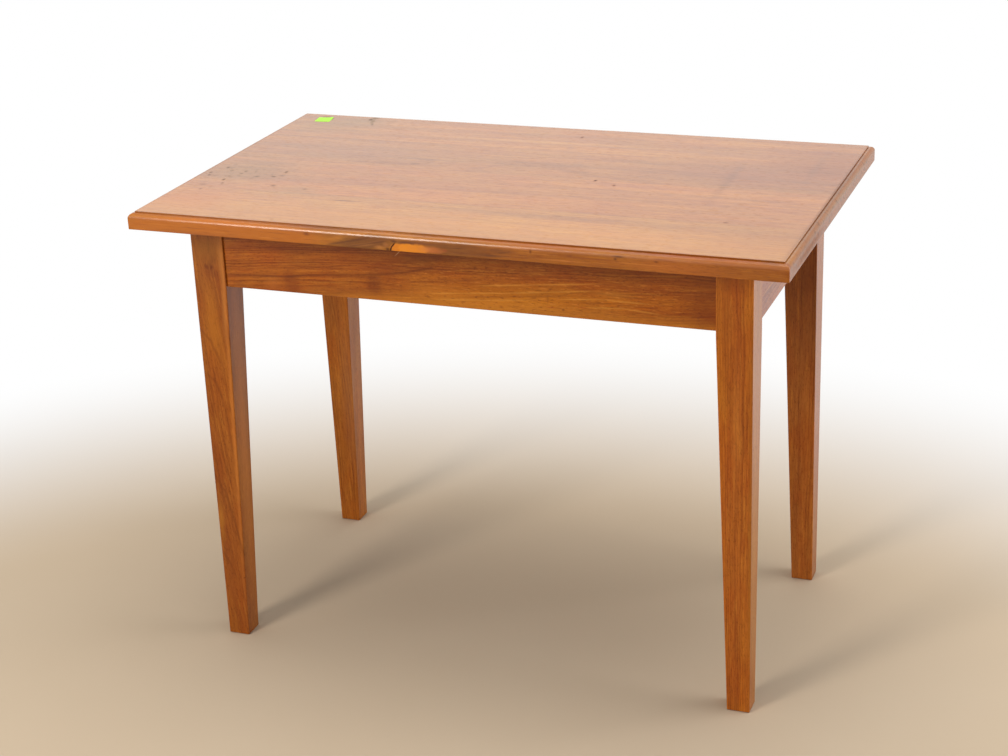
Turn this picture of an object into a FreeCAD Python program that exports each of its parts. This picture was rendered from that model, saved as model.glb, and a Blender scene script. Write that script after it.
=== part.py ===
"""A small side table in solid cherry: four tapered legs, four aprons and a moulded top.

Millimetres. X runs to the right along the front, Y runs to the back and Z runs up.
The origin is on the floor, under the middle of the table.

The aprons are tenoned into the legs, and the tenons are mitred where they meet.
The top is edge glued from four boards. It is held down by wooden buttons, whose
tongues sit in slots in the aprons, so that the wide boards can swell and shrink.
"""
import FreeCAD, Part
import math
import os

V = FreeCAD.Vector

# The table as a whole
table_length = 710.0
table_depth = 433.0
table_height = 522.0
eased_edge = 1.0            # radius that sandpaper leaves on an arris

# The top
top_thickness = 19.0
end_overhang = 45.5         # from the legs' outer faces to the ends of the top
side_overhang = 47.5        # from the legs' outer faces to its front and back
moulding_width = 6.0        # how far the moulded edge runs in from the outside
moulding_step = 1.5         # height of the small step beside the flat of the top
moulding_round = 4.8        # height of the quarter round below the step
glue_line_shares = (-0.25, 0.022, 0.26)    # where the boards meet, of the depth

# The legs
leg_width = 38.0
foot_width = 24.8
taper_start = 5.0           # how far below the aprons the taper begins
foot_bevel = 1.2            # a small bevel that keeps the foot from splintering

# The aprons
apron_height = 74.0
apron_thickness = 19.0
apron_setback = 2.7         # how far the legs stand proud of the aprons

# The mortise and tenon joints
tenon_thickness = 8.0
tenon_top_shoulder = 12.0
tenon_bottom_shoulder = 6.0
mitre_gap = 0.5             # how far each tenon stops short of the mitre line
mortise_clearance = 0.15

# The buttons and their slots
button_width = 24.0         # along the apron
button_reach = 28.0         # from the apron's face towards the middle
tongue_length = 9.0
tongue_thickness = 7.0
slot_drop = 9.0             # from the underside of the top to the slot
slot_depth = 11.0
slot_play = 5.0             # room each side of a tongue, for the boards' movement
slot_clearance = 0.3
pull_gap = 0.5              # lets the screw pull the button up tight
button_bevel = 2.0
long_apron_button_shares = (-0.33, 0.0, 0.33)    # of the clear length of the apron
end_apron_button_shares = (0.0,)

# The screws
screw_head_diameter = 8.0
screw_diameter = 4.0        # over the thread, which is plain here
screw_grip = 12.0           # how deep the screw goes into the top
screw_point = 2.0
screw_slot_width = 1.0
screw_slot_depth = 1.2
screw_clearance = 0.2       # between the screw and its hole, on the radius
screw_place_share = 0.58    # where the screw stands, of the button's reach

overrun = 2.0               # how far a cut runs past the face that it opens
weld_tolerance = 0.005      # closes the hair's breadth between two rounded arrises

# Levels and distances that follow
top_underside = table_height - top_thickness
apron_underside = top_underside - apron_height
taper_level = apron_underside - taper_start
leg_outer_x = table_length / 2 - end_overhang
leg_outer_y = table_depth / 2 - side_overhang
tenon_face_setback = apron_setback + (apron_thickness - tenon_thickness) / 2
mortise_face_setback = tenon_face_setback - mortise_clearance
apron_inner_setback = apron_setback + apron_thickness
tongue_top = top_underside - slot_drop
button_bottom = tongue_top - tongue_thickness
button_top = top_underside - pull_gap
screw_reach = button_reach * screw_place_share
quarter_turn = 90.0
half_turn = 180.0


def block(x_range, y_range, z_range):
    """A box between two limits along each axis."""
    size = [high - low for low, high in (x_range, y_range, z_range)]
    corner = V(x_range[0], y_range[0], z_range[0])
    return Part.makeBox(size[0], size[1], size[2], corner)


def turned(shape, degrees):
    """A copy of the shape, turned about the table's upright middle line."""
    copy = shape.copy()
    copy.rotate(V(0, 0, 0), V(0, 0, 1), degrees)
    return copy


def moulded_prism(width, length):
    """A bar along Y, whose section across X is the top with both edges moulded."""
    outside = width / 2
    flat = outside - moulding_width
    step_foot = table_height - moulding_step
    round_foot = step_foot - moulding_round
    eased = top_underside + eased_edge
    slant = math.sqrt(0.5)

    def at(x, z):
        return V(x, -length / 2, z)

    def round_over(side):
        middle = at(side * (flat + moulding_width * slant), round_foot + moulding_round * slant)
        return Part.Arc(at(side * outside, round_foot), middle, at(side * flat, step_foot)).toShape()

    def lower_arris(side):
        centre_x = outside - eased_edge
        middle = at(side * (centre_x + eased_edge * slant), eased - eased_edge * slant)
        return Part.Arc(at(side * centre_x, top_underside), middle, at(side * outside, eased)).toShape()

    def line(x_start, z_start, x_end, z_end):
        return Part.makeLine(at(x_start, z_start), at(x_end, z_end))

    edges = [
        line(-outside + eased_edge, top_underside, outside - eased_edge, top_underside),
        lower_arris(1),
        line(outside, eased, outside, round_foot),
        round_over(1),
        line(flat, step_foot, flat, table_height),
        line(flat, table_height, -flat, table_height),
        line(-flat, table_height, -flat, step_foot),
        round_over(-1),
        line(-outside, round_foot, -outside, eased),
        lower_arris(-1),
    ]
    wire = Part.Wire(Part.__sortEdges__(edges))
    return Part.Face(wire).extrude(V(0, length, 0))


def top_boards():
    """The top with its mitred moulding, sawn along the glue lines into boards."""
    across = moulded_prism(table_length, table_depth)
    along = turned(moulded_prism(table_depth, table_length), quarter_turn)
    whole = across.common(along)
    half = table_depth / 2 + overrun
    lines = [-half] + [share * table_depth for share in glue_line_shares] + [half]
    x_range = (-table_length, table_length)
    z_range = (0, table_height + overrun)
    names = ["front_board", "front_middle_board", "rear_middle_board", "rear_board"]
    boards = {}
    for name, low, high in zip(names, lines, lines[1:]):
        boards[name] = whole.common(block(x_range, (low, high), z_range))
    return boards


def crossed(outline):
    """The solid that shows the same outline from the front and from the side."""
    width = max(across for across, level in outline)
    from_front = [V(across, 0, level) for across, level in outline]
    from_side = [V(0, across, level) for across, level in outline]
    front_face = Part.Face(Part.makePolygon(from_front + from_front[:1]))
    side_face = Part.Face(Part.makePolygon(from_side + from_side[:1]))
    return front_face.extrude(V(0, width, 0)).common(side_face.extrude(V(width, 0, 0)))


def with_eased_arrises(stick):
    """A length of leg with its four long arrises rounded."""
    arrises = [edge for edge in stick.Edges if edge.BoundBox.ZLength > 2 * foot_bevel]
    return stick.makeFillet(eased_edge, arrises)


def plain_leg():
    """The front left leg before its mortises: outer faces plumb, inner faces tapered."""
    tapered_outline = [
        (foot_bevel, 0), (foot_width - foot_bevel, 0), (foot_width, foot_bevel),
        (leg_width, taper_level), (0, taper_level), (0, foot_bevel),
    ]
    tapered = with_eased_arrises(crossed(tapered_outline))
    square = block((0, leg_width), (0, leg_width), (taper_level, top_underside))
    leg = tapered.fuse([with_eased_arrises(square)], weld_tolerance)
    leg.translate(V(-leg_outer_x, -leg_outer_y, 0))
    return leg


def leg_with_mortises():
    """The front left leg, with a mortise in each inner face. The two meet inside."""
    near = mortise_face_setback
    far = near + tenon_thickness + 2 * mortise_clearance
    low = apron_underside + tenon_bottom_shoulder - mortise_clearance
    high = top_underside - tenon_top_shoulder + mortise_clearance
    x_near, x_far = -leg_outer_x + near, -leg_outer_x + far
    y_near, y_far = -leg_outer_y + near, -leg_outer_y + far
    x_mouth = -leg_outer_x + leg_width + overrun
    y_mouth = -leg_outer_y + leg_width + overrun
    front_mortise = block((x_near, x_mouth), (y_near, y_far), (low, high))
    side_mortise = block((x_near, x_far), (y_near, y_mouth), (low, high))
    return plain_leg().cut(front_mortise).cut(side_mortise)


def mirrored(shape, normal):
    """A copy of the shape on the other side of the table's middle."""
    return shape.mirror(V(0, 0, 0), normal)


def legs():
    """All four legs, each a mirror image of the front left one."""
    front_left = leg_with_mortises()
    front_right = mirrored(front_left, V(1, 0, 0))
    return {
        "front_left_leg": front_left,
        "front_right_leg": front_right,
        "rear_left_leg": mirrored(front_left, V(0, 1, 0)),
        "rear_right_leg": mirrored(front_right, V(0, 1, 0)),
    }


def tenon(clear_half, outer_y):
    """A tenon at the right end of an apron, with its end cut at 45 degrees in plan."""
    low = apron_underside + tenon_bottom_shoulder
    high = top_underside - tenon_top_shoulder
    leg_face = clear_half + leg_width
    front_y = outer_y + tenon_face_setback
    rear_y = front_y + tenon_thickness
    front_x = leg_face - tenon_face_setback - mitre_gap
    rear_x = front_x - tenon_thickness
    plan = [(clear_half, front_y), (front_x, front_y), (rear_x, rear_y), (clear_half, rear_y)]
    points = [V(x, y, low) for x, y in plan]
    face = Part.Face(Part.makePolygon(points + points[:1]))
    return face.extrude(V(0, 0, high - low))


def button_places(clear_half, shares):
    """The distances of an apron's buttons from its middle."""
    return [2 * clear_half * share for share in shares]


def lower_arrises(rail, clear_half):
    """The two long edges along the underside of a rail."""
    at_bottom = [edge for edge in rail.Edges if edge.BoundBox.ZMax < apron_underside + eased_edge]
    return [edge for edge in at_bottom if edge.BoundBox.XLength > clear_half]


def apron(frame_half_length, frame_half_width, shares):
    """The apron along the front side of a frame: rail, tenons and button slots."""
    clear_half = frame_half_length - leg_width
    outer_y = -frame_half_width
    face_y = outer_y + apron_setback
    inner_y = face_y + apron_thickness
    rail = block((-clear_half, clear_half), (face_y, inner_y), (apron_underside, top_underside))
    rail = rail.makeFillet(eased_edge, lower_arrises(rail, clear_half))
    right_tenon = tenon(clear_half, outer_y)
    rail = rail.fuse([right_tenon, mirrored(right_tenon, V(1, 0, 0))])
    half_slot = button_width / 2 + slot_play
    slot_floor = button_bottom - slot_clearance
    for place in button_places(clear_half, shares):
        x_range = (place - half_slot, place + half_slot)
        y_range = (inner_y - slot_depth, inner_y + overrun)
        rail = rail.cut(block(x_range, y_range, (slot_floor, tongue_top)))
    return rail


def button(place, frame_half_width):
    """A wooden button beside the front apron: a block with a tongue on one end."""
    inner_y = -frame_half_width + apron_inner_setback
    end_y = inner_y + button_reach
    body_y = inner_y + slot_clearance
    low, high = button_bottom, button_top
    outline = [
        (inner_y - tongue_length, low), (end_y - button_bevel, low), (end_y, low + button_bevel),
        (end_y, high), (body_y, high), (body_y, tongue_top), (inner_y - tongue_length, tongue_top),
    ]
    points = [V(place - button_width / 2, y, z) for y, z in outline]
    face = Part.Face(Part.makePolygon(points + points[:1]))
    solid = face.extrude(V(button_width, 0, 0))
    centre = V(place, inner_y + screw_reach, low)
    hole_radius = screw_diameter / 2 + screw_clearance
    hole = Part.makeCylinder(hole_radius, high - low, centre)
    head_radius = screw_head_diameter / 2
    sink = Part.makeCone(head_radius, hole_radius, head_radius - hole_radius, centre)
    return solid.cut(hole).cut(sink)


def screw_profile():
    """Radius and height of a countersunk screw's outline, from its head upwards."""
    head = screw_head_diameter / 2
    shank = screw_diameter / 2
    tip = top_underside + screw_grip - button_bottom
    return [(0, 0), (head, 0), (shank, head - shank), (shank, tip - screw_point), (0, tip)]


def screw(place, frame_half_width):
    """The screw that draws a button up against its slot. Its driving slot is below."""
    y = -frame_half_width + apron_inner_setback + screw_reach
    points = [V(place + r, y, button_bottom + h) for r, h in screw_profile()]
    face = Part.Face(Part.makePolygon(points + points[:1]))
    solid = face.revolve(V(place, y, 0), V(0, 0, 1), 2 * half_turn)
    half_slot = screw_slot_width / 2
    x_range = (place - screw_head_diameter, place + screw_head_diameter)
    z_range = (button_bottom - overrun, button_bottom + screw_slot_depth)
    return solid.cut(block(x_range, (y - half_slot, y + half_slot), z_range))


def pilot_hole(place, frame_half_width):
    """The blind hole for a screw in the underside of the top."""
    y = -frame_half_width + apron_inner_setback + screw_reach
    radius = screw_diameter / 2 + screw_clearance
    depth = screw_grip + screw_clearance
    return Part.makeCylinder(radius, depth + overrun, V(place, y, top_underside - overrun))


def apron_sides():
    """Each side's name, turn about the middle, frame half sizes and button shares."""
    return [
        ("front", 0, leg_outer_x, leg_outer_y, long_apron_button_shares),
        ("right", quarter_turn, leg_outer_y, leg_outer_x, end_apron_button_shares),
        ("rear", half_turn, leg_outer_x, leg_outer_y, long_apron_button_shares),
        ("left", -quarter_turn, leg_outer_y, leg_outer_x, end_apron_button_shares),
    ]


def main():
    os.makedirs("parts", exist_ok=True)
    nodes = legs()
    boards = top_boards()
    for side, turn, half_length, half_width, shares in apron_sides():
        nodes[side + "_apron"] = turned(apron(half_length, half_width, shares), turn)
        places = button_places(half_length - leg_width, shares)
        for number, place in enumerate(places, start=1):
            suffix = "_" + str(number) if len(places) > 1 else ""
            nodes[side + "_button" + suffix] = turned(button(place, half_width), turn)
            nodes[side + "_screw" + suffix] = turned(screw(place, half_width), turn)
            hole = turned(pilot_hole(place, half_width), turn)
            boards = {name: board.cut(hole) for name, board in boards.items()}
    nodes.update(boards)
    for name, shape in nodes.items():
        solids = shape.Solids
        print(name, "solids", len(solids), "volume", round(shape.Volume), "valid", shape.isValid())
        shape = solids[0] if len(solids) == 1 else Part.makeCompound(solids)
        shape.exportStep("parts/" + name + ".step")


main()
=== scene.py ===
# %% [markdown]
# # A small cherry side table
#
# The table's shape is already made: every board, leg, rail, button and screw comes from the packed
# model, in metres, with the floor at height zero. In this lesson they get their wood and their
# varnish, and the table gets a paper label, a floor, soft light and a camera.
#
# The first lines load the imported model.

# %% Load the imported table
import math
from functools import partial

import bmesh
import bpy
from mathutils import Matrix, Vector


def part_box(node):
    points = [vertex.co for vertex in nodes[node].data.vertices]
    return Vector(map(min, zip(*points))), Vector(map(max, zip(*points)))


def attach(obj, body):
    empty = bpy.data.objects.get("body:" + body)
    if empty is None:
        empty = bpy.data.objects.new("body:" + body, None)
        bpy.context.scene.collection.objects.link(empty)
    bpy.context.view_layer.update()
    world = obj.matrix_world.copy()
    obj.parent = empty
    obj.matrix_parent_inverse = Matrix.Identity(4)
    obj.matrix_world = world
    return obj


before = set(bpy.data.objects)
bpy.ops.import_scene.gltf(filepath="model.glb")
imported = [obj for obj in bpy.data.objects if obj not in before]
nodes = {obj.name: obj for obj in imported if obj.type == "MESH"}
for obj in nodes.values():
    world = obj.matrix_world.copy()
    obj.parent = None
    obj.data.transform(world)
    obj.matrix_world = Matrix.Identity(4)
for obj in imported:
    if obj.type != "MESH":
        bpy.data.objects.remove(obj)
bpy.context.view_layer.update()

scene = bpy.context.scene
MM = 0.001
print("pieces loaded:", len(nodes))

# %% [markdown]
# ## Where the surfaces are
#
# Wood has marks in real places: a crack in one edge, a streak near one corner. To put them there,
# the materials need to know where the faces of the table lie. They could be typed in again, but
# reading them from the loaded pieces keeps this file right when the table's sizes change.

# %% Read the faces that the marks refer to
TOP_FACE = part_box("front_board")[1].z
FRONT_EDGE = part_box("front_board")[0].y
RIGHT_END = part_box("front_board")[1].x
LEG_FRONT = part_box("front_left_leg")[0].y
LEG_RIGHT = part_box("front_right_leg")[1].x
REAR_LEG_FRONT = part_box("rear_right_leg")[0].y
APRON_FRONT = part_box("front_apron")[0].y
BOARDS = ("front_board", "front_middle_board", "rear_middle_board", "rear_board")
GLUE_LINES = [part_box(name)[1].y for name in BOARDS[:-1]]
print("top face at, mm:", round(TOP_FACE / MM, 1))
print("glue lines at, mm:", [round(y / MM, 1) for y in GLUE_LINES])

# %% [markdown]
# ## The camera
#
# The photograph was taken from the right of the table's middle and from above, with a longish lens,
# and the camera leaned over a little, so the uprights aren't quite upright. The place, the angles
# and the focal length were worked out from the straight edges of the table. A camera can be aimed
# with a constraint, but a matrix of its own three directions holds the lean as well.

# %% Place the camera
IMAGE_WIDTH = 1008  # pixels
SENSOR_WIDTH = 36.0  # mm
FOCAL_LENGTH_IN_PIXELS = 1975.2
CAMERA_PLACE = Vector((0.7332, -1.9468, 1.1206))
YAW, PITCH, LEAN = (math.radians(angle) for angle in (21.144, -21.840, -2.302))

look = Vector((-math.sin(YAW) * math.cos(PITCH), math.cos(YAW) * math.cos(PITCH), math.sin(PITCH)))
level_right = Vector((math.cos(YAW), math.sin(YAW), 0.0))
level_up = level_right.cross(look)
right = level_right * math.cos(LEAN) + level_up * math.sin(LEAN)
up = level_up * math.cos(LEAN) - level_right * math.sin(LEAN)

lens = bpy.data.cameras.new("studio_camera")
lens.sensor_width = SENSOR_WIDTH
lens.lens = FOCAL_LENGTH_IN_PIXELS / IMAGE_WIDTH * SENSOR_WIDTH
camera = bpy.data.objects.new("studio_camera", lens)
scene.collection.objects.link(camera)
directions = Matrix((right, up, -look)).transposed().to_4x4()
camera.matrix_world = Matrix.Translation(CAMERA_PLACE) @ directions
scene.camera = camera
scene.view_settings.view_transform = "Standard"  # a colour shows as it is written
print("lens, mm:", round(lens.lens, 1))

# %% [markdown]
# ## Three tools for materials
#
# Colours are easiest to choose as the hex values of a screen, but light adds up in linear numbers,
# so one function turns the first into the second. Materials are trees of nodes. A second function
# adds one node with its settings, its values and its links in a single line, and where another node
# is given instead of a value, the first output that this node has in use is linked. A third makes a
# material with an empty tree to fill.

# %% Turn hex colours to linear, and add nodes
FACTOR, FIRST, SECOND = 0, 6, 7  # the Mix node's inputs, where it mixes colours


def linear(hex_colour):
    """The linear red, green, blue and alpha of an sRGB hex colour."""
    channels = [int(hex_colour[i:i + 2], 16) / 255 for i in (1, 3, 5)]
    return (*[c / 12.92 if c <= 0.04045 else ((c + 0.055) / 1.055) ** 2.4 for c in channels], 1.0)


def add(tree, kind, sockets=None, **settings):
    """Adds one node. A socket is given a value, or a node or an output that is linked to it."""
    node = tree.nodes.new("ShaderNode" + kind)
    for name, value in settings.items():
        setattr(node, name, value)
    for name, value in (sockets or {}).items():
        if isinstance(value, bpy.types.Node):
            value = next(output for output in value.outputs if output.enabled)
        if isinstance(value, bpy.types.NodeSocket):
            tree.links.new(value, node.inputs[name])
        else:
            node.inputs[name].default_value = value
    return node


def blank_material(name):
    """A material with an empty tree."""
    material = bpy.data.materials.new(name)
    material.use_nodes = True
    material.node_tree.nodes.clear()
    return material


print("cherry brown in linear numbers:", [round(c, 3) for c in linear("#A05A28")])

# %% [markdown]
# ## The studio: a white surrounding
#
# The table stands in a bright plain place. A world that is simply white would also pour white light
# on the wood from every side and wash its colour out. So the world is white, strength 1, only where
# it is seen, straight or as a reflection in the varnish, and it gives a gentler light to everything
# else.

# %% Make the world
SURROUNDING_LIGHT = 0.26


def seen_ray(tree):
    """1 for a ray that shows the surroundings: straight, mirrored or through glass."""
    path = add(tree, "LightPath")
    seen = add(tree, "Math", {0: path.outputs["Is Camera Ray"], 1: path.outputs["Is Glossy Ray"]},
               operation="MAXIMUM")
    return add(tree, "Math", {0: seen, 1: path.outputs["Is Transmission Ray"]}, operation="MAXIMUM")


world = bpy.data.worlds.new("white_studio")
scene.world = world
world.use_nodes = True
tree = world.node_tree
tree.nodes.clear()
strength = add(tree, "MapRange", {"Value": seen_ray(tree), "To Min": SURROUNDING_LIGHT, "To Max": 1.0})
background = add(tree, "Background", {"Color": linear("#FFFFFF"), "Strength": strength})
add(tree, "OutputWorld", {"Surface": background})
print("surrounding light:", SURROUNDING_LIGHT)

# %% [markdown]
# ## The floor
#
# A plain pale floor carries the table's shadow. It is a wide disc, warm and pale under the table. A
# floor that simply ended would draw a line across the picture, and a curved backdrop would stand in
# the way of a camera behind the table. Here the floor fades to the white of the surroundings with
# distance, so it has no end to see from any side. The fade is measured from a point in front of the
# table, so that the floor is still warm at the bottom of the picture and white above the feet.

# %% Make the floor
# lengths in metres
FLOOR_RADIUS = 9.0
FLOOR_SIDES = 96
FADE_CENTRE = (0.05, -0.62, 0.0)
FADE_FROM, FADE_TO = 0.85, 1.50
FLOOR_PATCH = 0.33
FLOOR_WARM, FLOOR_PALE = "#B9A892", "#C0B09B"

shape = bmesh.new()
bmesh.ops.create_circle(shape, cap_ends=True, segments=FLOOR_SIDES, radius=FLOOR_RADIUS)
floor_mesh = bpy.data.meshes.new("floor")
shape.to_mesh(floor_mesh)
shape.free()
floor = bpy.data.objects.new("floor", floor_mesh)
scene.collection.objects.link(floor)

# Matt painted floor: it gives the eye a soft shadow and no mirror image.
pale_floor = blank_material("matt_painted_floor")
tree = pale_floor.node_tree
place = add(tree, "TexCoord").outputs["Object"]
distance = add(tree, "VectorMath", {0: place, 1: FADE_CENTRE}, operation="DISTANCE")
fade = add(tree, "MapRange", {"Value": distance, "From Min": FADE_FROM, "From Max": FADE_TO},
           interpolation_type="SMOOTHSTEP")
seen_fade = add(tree, "Math", {0: fade, 1: seen_ray(tree)}, operation="MULTIPLY")
patches = add(tree, "TexNoise", {"Vector": place, "Scale": 1 / FLOOR_PATCH, "Detail": 3.0})
tone = add(tree, "Mix", {FACTOR: patches, FIRST: linear(FLOOR_WARM), SECOND: linear(FLOOR_PALE)},
           data_type="RGBA")
matt = add(tree, "BsdfDiffuse", {"Color": tone})
white = add(tree, "Emission", {"Color": linear("#FFFFFF"), "Strength": 1.0})
both = add(tree, "MixShader", {0: seen_fade, 1: matt, 2: white})
add(tree, "OutputMaterial", {"Surface": both})
floor_mesh.materials.append(pale_floor)
print("floor faces:", len(floor_mesh.polygons))

# %% [markdown]
# ## The lamps
#
# Four soft boxes do what a small studio does. A wide one hangs overhead and lights the top. A
# smaller one stands low at the front left: it lights the fronts of the legs and rails, and its
# reflection is the bright line along the rounded front edge. One at the right fills the right-hand
# faces. It is kept out of reflections, because from the table's left end the top would mirror it as
# a hard white patch. A large dim one stands behind, and the varnish of the top mirrors it at a
# shallow angle, which gives the top its pale satin look.
#
# A lamp's power depends on its size, which makes it hard to guess. So each box is given the
# brightness that its face should show, and its power is that times pi times the face's area.

# %% Hang the soft boxes
AIM = Vector((0.0, 0.0, 0.40))  # the middle of the table, in metres as the boxes are
SOFT_BOXES = {
    # name: (place, width, height, brightness of its face, colour)
    "overhead_box": (Vector((0.1, 0.1, 2.7)), 2.4, 2.4, 3.65, "#FFFDF8"),
    "front_left_box": (Vector((-1.15, -2.40, 1.42)), 0.66, 1.25, 17.2, "#FFF6EA"),
    "right_box": (Vector((2.3, 0.5, 0.95)), 1.6, 1.3, 4.5, "#FFFFFF"),
    "rear_box": (Vector((-0.95, 2.60, 1.60)), 3.0, 1.4, 0.30, "#FFFFFF"),
}

for name, (place_of_box, width, height, brightness, colour) in SOFT_BOXES.items():
    lamp = bpy.data.lights.new(name, "AREA")
    lamp.shape = "RECTANGLE"
    lamp.size = width
    lamp.size_y = height
    lamp.energy = brightness * math.pi * width * height
    lamp.color = linear(colour)[:3]
    box = bpy.data.objects.new(name, lamp)
    scene.collection.objects.link(box)
    facing = (place_of_box - AIM).to_track_quat("Z", "Y").to_matrix().to_4x4()
    box.matrix_world = Matrix.Translation(place_of_box) @ facing
    box.visible_camera = False
    box.visible_glossy = name != "right_box"  # so the top doesn't mirror it
    print(name, "power, W:", round(lamp.energy, 1))

# %% [markdown]
# ## Cherry: the rings of a tree
#
# The table is made of solid cherry, planed, sanded and varnished to a satin. A plank is a slice of
# a trunk, so its grain is what a slice through a set of long nested tubes looks like: straight
# lines where it was cut beside the middle of the trunk, and pointed arches where it was cut across
# the tubes' crowns. A flat stripe pattern would look the same on every face. Here the pattern
# fills space instead: each point of a piece gets its distance from the trunk's middle line, the
# pith, and every face of the piece, its ends too, shows the right cut of the same rings.
#
# Each piece has its own pith line, because each was sawn from its own place, and its own pair of
# colours, because no two planks match. Mapping in its texture mode puts the pith where it is asked
# for: its X runs along the grain. The four boards lie flat and are seen at a slant, so their finest
# grain is drawn coarser than on the legs, or it would vanish.

# %% Say which trunk each piece comes from
UPRIGHT = -math.pi / 2
SIDEWAYS = math.pi / 2


def trunk(pith, turn, pale, deep, rings, lines=0.4, clouds=0.8, lying=False):
    """A point of the pith in mm, its turn, the piece's two colours, the width of a ring in mm, how
    strongly the ring lines and the clouds show, and whether the piece lies flat."""
    return {"pith": Vector(pith) * MM, "turn": turn, "pale": pale, "deep": deep,
            "rings": rings * MM, "lines": lines, "clouds": clouds, "lying": lying}


LYING = {"lines": 0.20, "clouds": 0.5, "lying": True}
TRUNKS = {
    "front_board": trunk((0, -330, 410), (0, 0.010, -0.006), "#AF7216", "#9D6414", 3.4, **LYING),
    "front_middle_board": trunk((0, -205, 400), (0, -0.012, 0.008), "#AE6C14", "#9C5E12", 3.1, **LYING),
    "rear_middle_board": trunk((0, 38, 468), (0, 0.030, -0.004), "#A36612", "#915910", 3.3, **LYING),
    "rear_board": trunk((0, 300, 430), (0, 0.008, 0.010), "#AB6C14", "#9A5E12", 3.0, **LYING),
    "front_apron": trunk((0, -120, 385), (0, -0.070, 0.010), "#BD6F1B", "#A15719", 3.0, 0.55, 1.0),
    "rear_apron": trunk((0, 90, 470), (0, 0.015, -0.020), "#B26416", "#984F12", 3.1),
    "left_apron": trunk((-250, 0, 440), (0, 0.010, SIDEWAYS), "#B26416", "#984F12", 3.0),
    "right_apron": trunk((215, 0, 480), (0, -0.012, SIDEWAYS), "#B26416", "#984F12", 3.2),
    "front_left_leg": trunk((-345, -95, 250), (0, UPRIGHT - 0.10, 0.0), "#A9631F", "#92511D",
                            3.4, 0.35),
    "front_right_leg": trunk((150, -205, 250), (0, UPRIGHT - 0.012, 0.4), "#CA7A20", "#B0621E",
                             3.0, 0.45),
    "rear_left_leg": trunk((-236, 70, 250), (0, UPRIGHT + 0.012, 1.4), "#BC7324", "#A86421", 2.9),
    "rear_right_leg": trunk((400, 90, 250), (0, UPRIGHT - 0.014, 2.2), "#B36A28", "#9F5B24", 2.8),
}
print("trunks:", len(TRUNKS))

# %% [markdown]
# ## Cherry: two shapes that draw it
#
# Most of what the eye sees in a plank is long and thin and lies along the grain. It could be drawn
# one line at a time, but noise draws thousands at once: its space is divided by the length of the
# real marks along the grain, and by their width across it. The second shape is a soft oval. Here it
# swells the rings round a knot, and later it makes the single marks.

# %% Stretch noise along the grain, and make soft ovals
NOISE_ROUGHNESS = 0.55


def noise_along(tree, grain, size, detail, shown):
    """How strongly marks of that length and width in mm, lying along the grain, show: 0 to 1."""
    length, width = size
    scales = Vector((1 / length, 1 / width, 1 / width)) / MM
    spread = add(tree, "VectorMath", {0: grain, 1: scales}, operation="MULTIPLY")
    noise = add(tree, "TexNoise", {"Vector": spread, "Scale": 1.0, "Detail": detail,
                                   "Roughness": NOISE_ROUGHNESS})
    return add(tree, "MapRange", {"Value": noise, "From Min": shown[0], "From Max": shown[1]},
               interpolation_type="SMOOTHSTEP")


def oval(tree, place, centre, reach, turn, soft, peak):
    """A soft oval: peak inside, and 0 outside its reach in mm from its centre."""
    local = add(tree, "Mapping", {"Vector": place, "Location": Vector(centre) * MM, "Rotation": turn,
                                  "Scale": Vector(reach) * MM}, vector_type="TEXTURE")
    distance = add(tree, "VectorMath", {0: local}, operation="LENGTH")
    return add(tree, "MapRange", {"Value": distance, "From Min": 1.0, "From Max": 1.0 - soft,
                                  "To Max": peak}, interpolation_type="SMOOTHSTEP")


print("noise roughness:", NOISE_ROUGHNESS)

# %% [markdown]
# ## Cherry: a ring for each year
#
# The rings wander, because the trunk was never a perfect tube. In each ring the late wood, grown at
# the end of summer, is a thin darker line, and some years leave a stronger one than others. So the
# distance from the pith is first swayed by three noises, a slow, a middle and a quick one, and then
# divided by the width of a ring. What comes before the point are the years, and what comes after it
# is the season.

# %% Draw the rings
# each is the length and width of its waves, in mm, and how far they move a ring
SWAYS = {
    "wander": ((600, 70), 26 * MM),
    "ripple": ((110, 16), 3.0 * MM),
    "flutter": ((34, 9), 1.1 * MM),
}
LATE_WOOD_STARTS, LATE_WOOD_PEAKS = 0.15, 0.86  # parts of a year
RINGS_PER_STRONG_YEAR = 0.37
WEAK_YEAR, STRONG_YEAR = 0.30, 0.70


def ring_lines(tree, grain, distance, ring):
    """The thin line of late wood that ends each year's ring, stronger in some years: 0 to 1."""
    for size, sway in SWAYS.values():
        wave = noise_along(tree, grain, size, 1.0, (0.0, 1.0))
        distance = add(tree, "Math", {0: wave, 1: sway, 2: distance}, operation="MULTIPLY_ADD")
    years = add(tree, "Math", {0: distance, 1: ring}, operation="DIVIDE")
    season = add(tree, "Math", {0: years}, operation="FRACT")
    summer = add(tree, "MapRange", {"Value": season, "From Min": LATE_WOOD_STARTS,
                                    "From Max": LATE_WOOD_PEAKS}, interpolation_type="SMOOTHSTEP")
    winter = add(tree, "MapRange", {"Value": season, "From Min": 1.0, "From Max": LATE_WOOD_PEAKS},
                 interpolation_type="SMOOTHSTEP")
    line = add(tree, "Math", {0: summer, 1: winter}, operation="MULTIPLY")
    slow_years = add(tree, "Math", {0: years, 1: RINGS_PER_STRONG_YEAR}, operation="MULTIPLY")
    weather = add(tree, "TexNoise", {"W": slow_years, "Scale": 1.0, "Detail": 1.0},
                  noise_dimensions="1D")
    strong_year = add(tree, "MapRange", {"Value": weather, "From Min": WEAK_YEAR,
                                         "From Max": STRONG_YEAR}, interpolation_type="SMOOTHSTEP")
    return add(tree, "Math", {0: line, 1: strong_year}, operation="MULTIPLY")


print("the rings sway, mm:", {name: round(sway / MM, 1) for name, (_, sway) in SWAYS.items()})

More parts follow.
